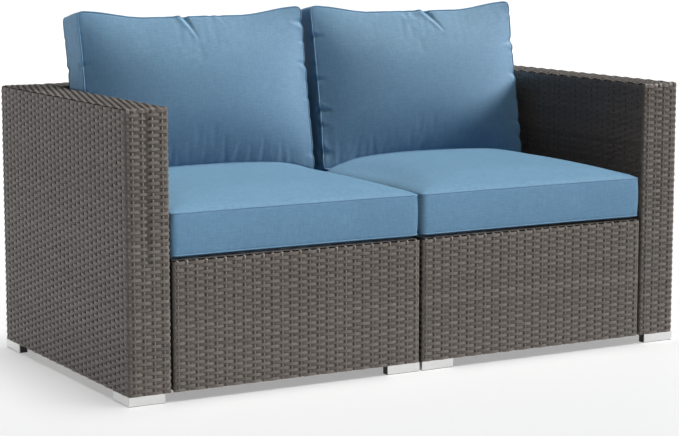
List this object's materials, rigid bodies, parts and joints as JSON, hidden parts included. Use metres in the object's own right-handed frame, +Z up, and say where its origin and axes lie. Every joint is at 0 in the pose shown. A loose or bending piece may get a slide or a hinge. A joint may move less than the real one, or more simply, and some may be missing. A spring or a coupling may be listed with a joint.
{
  "type": "patio loveseat",
  "caption": "Two-seat outdoor sofa of two one-arm woven resin chairs clipped side by side, with loose boxed seat and back cushions.",
  "frame": {"origin": "on the floor under the middle of the whole seat", "axes": "+Z up, -Y towards the front of the seat, +X towards the right as seen from the front"},
  "size_m": [1.4, 0.7, 0.7711],
  "materials": {
    "wicker": "satin",
    "frame_steel": "satin",
    "zinc_fasteners": "satin",
    "foot_aluminium": "satin",
    "black_plastic": "matte",
    "cushion_fabric": "matte",
    "cushion_foam": "matte"
  },
  "bodies": {
    "frame": {"left_arm_frame": "frame_steel", "left_arm_wicker": "wicker", "left_back_frame": "frame_steel", "left_back_wicker": "wicker", "left_seat_rails": "frame_steel", "left_seat_posts": "frame_steel", "left_seat_crossbars": "frame_steel", "left_apron_wicker": "wicker", "left_seat_deck": "wicker", "left_frame_bolts": "zinc_fasteners", "left_bolt_washers": "zinc_fasteners", "left_bolt_spacers": "zinc_fasteners", "left_frame_nuts": "zinc_fasteners", "left_foot_plates": "foot_aluminium", "left_foot_glides": "black_plastic", "left_foot_screws": "zinc_fasteners", "right_arm_frame": "frame_steel", "right_arm_wicker": "wicker", "right_back_frame": "frame_steel", "right_back_wicker": "wicker", "right_seat_rails": "frame_steel", "right_seat_posts": "frame_steel", "right_seat_crossbars": "frame_steel", "right_apron_wicker": "wicker", "right_seat_deck": "wicker", "right_frame_bolts": "zinc_fasteners", "right_bolt_washers": "zinc_fasteners", "right_bolt_spacers": "zinc_fasteners", "right_frame_nuts": "zinc_fasteners", "right_foot_plates": "foot_aluminium", "right_foot_glides": "black_plastic", "right_foot_screws": "zinc_fasteners", "chair_clips": "black_plastic"},
    "left_seat_cushion": {"left_seat_cushion_cover": "cushion_fabric", "left_seat_cushion_core": "cushion_foam"},
    "left_back_cushion": {"left_back_cushion_cover": "cushion_fabric", "left_back_cushion_core": "cushion_foam"},
    "right_seat_cushion": {"right_seat_cushion_cover": "cushion_fabric", "right_seat_cushion_core": "cushion_foam"},
    "right_back_cushion": {"right_back_cushion_cover": "cushion_fabric", "right_back_cushion_core": "cushion_foam"}
  },
  "joints": [
    {"name": "left_seat_cushion_lift", "type": "slide", "parent": "frame", "child": "left_seat_cushion", "axis": [0, 0, 1], "range_m": [0, 0.12]},
    {"name": "left_back_cushion_lift", "type": "slide", "parent": "left_seat_cushion", "child": "left_back_cushion", "axis": [0, 0, 1], "range_m": [0, 0.25]},
    {"name": "right_seat_cushion_lift", "type": "slide", "parent": "frame", "child": "right_seat_cushion", "axis": [0, 0, 1], "range_m": [0, 0.12]},
    {"name": "right_back_cushion_lift", "type": "slide", "parent": "right_seat_cushion", "child": "right_back_cushion", "axis": [0, 0, 1], "range_m": [0, 0.25]}
  ]
}
